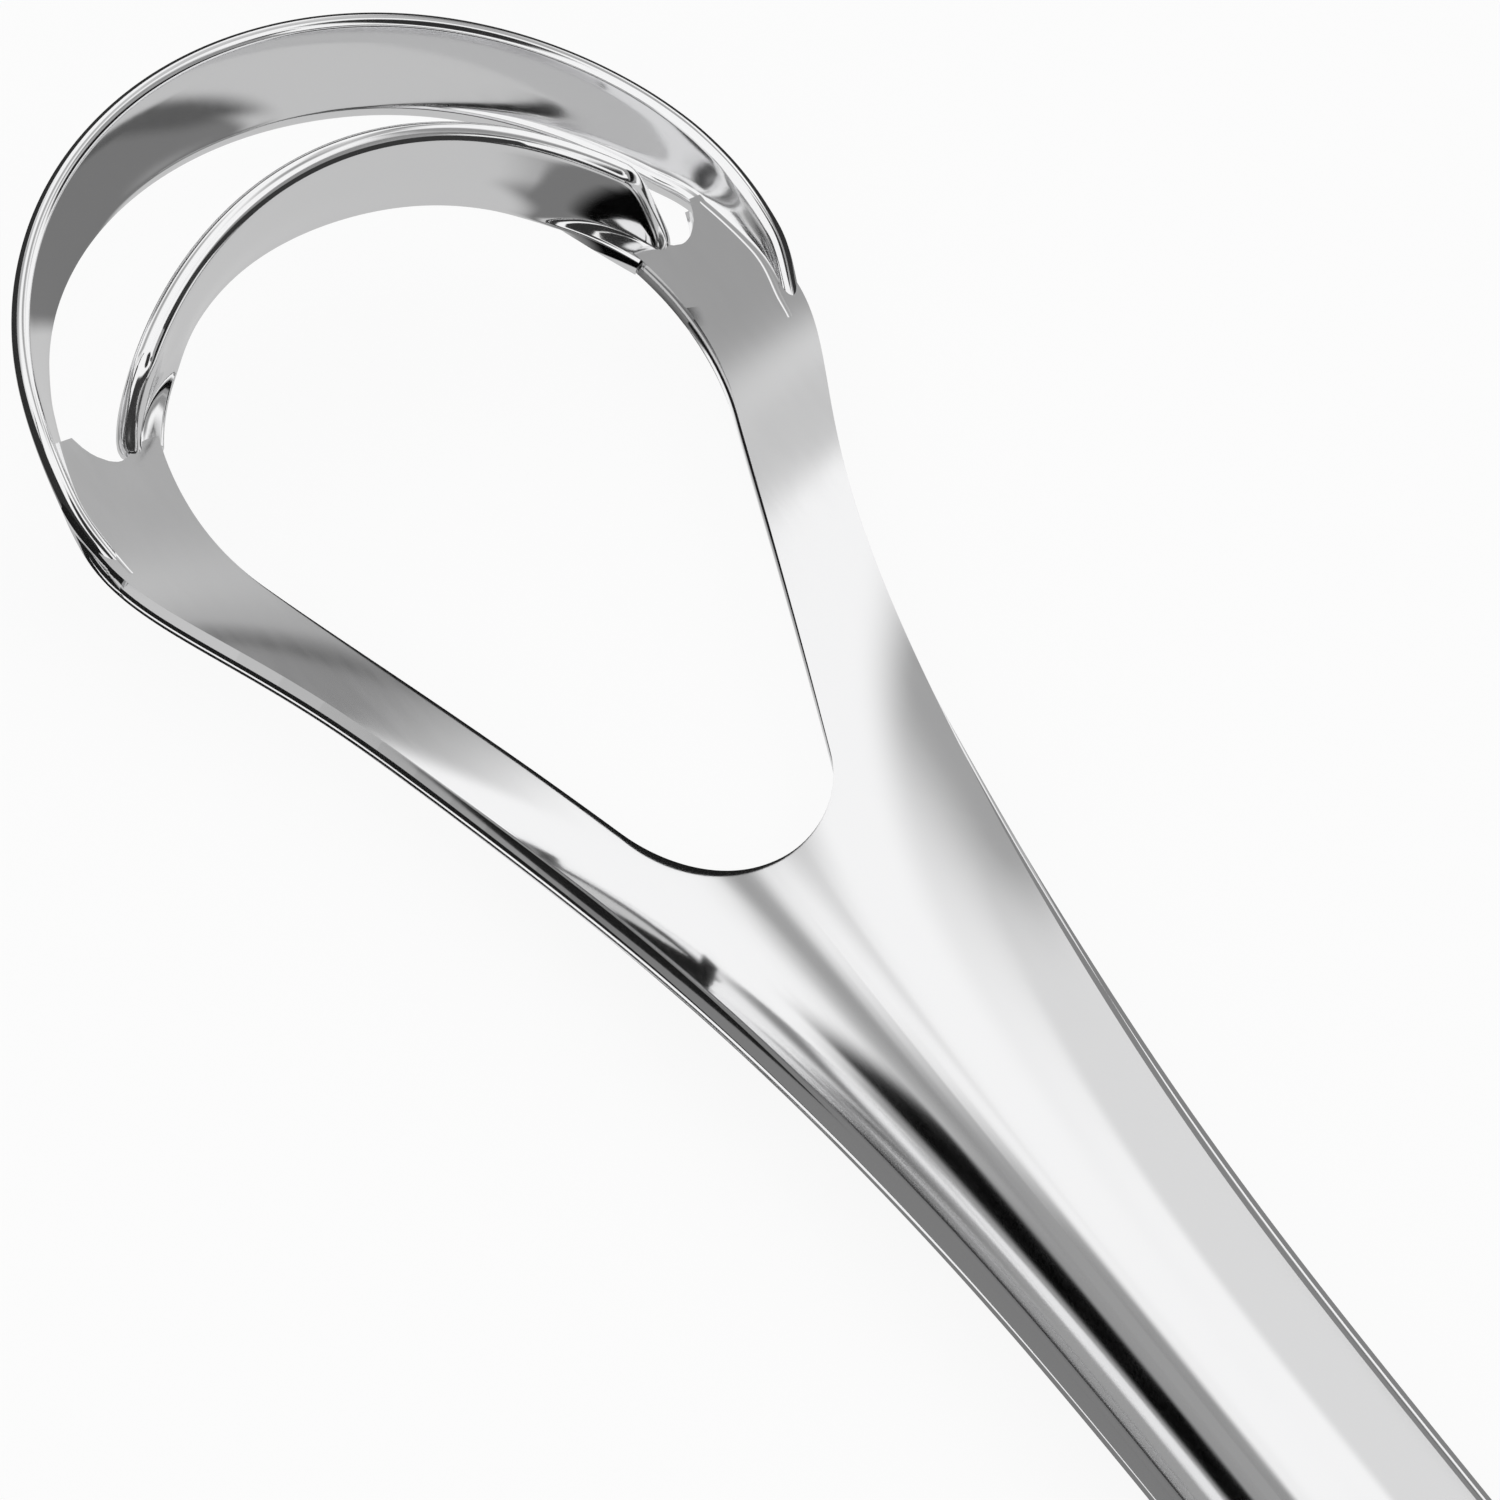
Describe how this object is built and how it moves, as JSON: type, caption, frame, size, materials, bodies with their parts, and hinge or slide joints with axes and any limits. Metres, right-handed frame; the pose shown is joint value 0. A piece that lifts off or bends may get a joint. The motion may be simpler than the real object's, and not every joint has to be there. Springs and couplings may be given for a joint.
{
  "type": "tongue scraper",
  "caption": "Tongue scraper pressed from polished stainless sheet: a channel-shaped handle that widens to a round head with a teardrop opening and two curved blades.",
  "frame": {"origin": "middle of the bounding box in X and Y, at the underside of the handle", "axes": "+X from the handle to the tip of the head, +Y across the head, +Z to the side that the blades stand up on"},
  "size_m": [0.15, 0.0302, 0.0089],
  "materials": {
    "polished_steel": "mirror polished stainless steel"
  },
  "bodies": {
    "root": {"handle": "polished_steel", "head_frame": "polished_steel", "outer_blade": "polished_steel", "inner_blade": "polished_steel"}
  },
  "joints": []
}
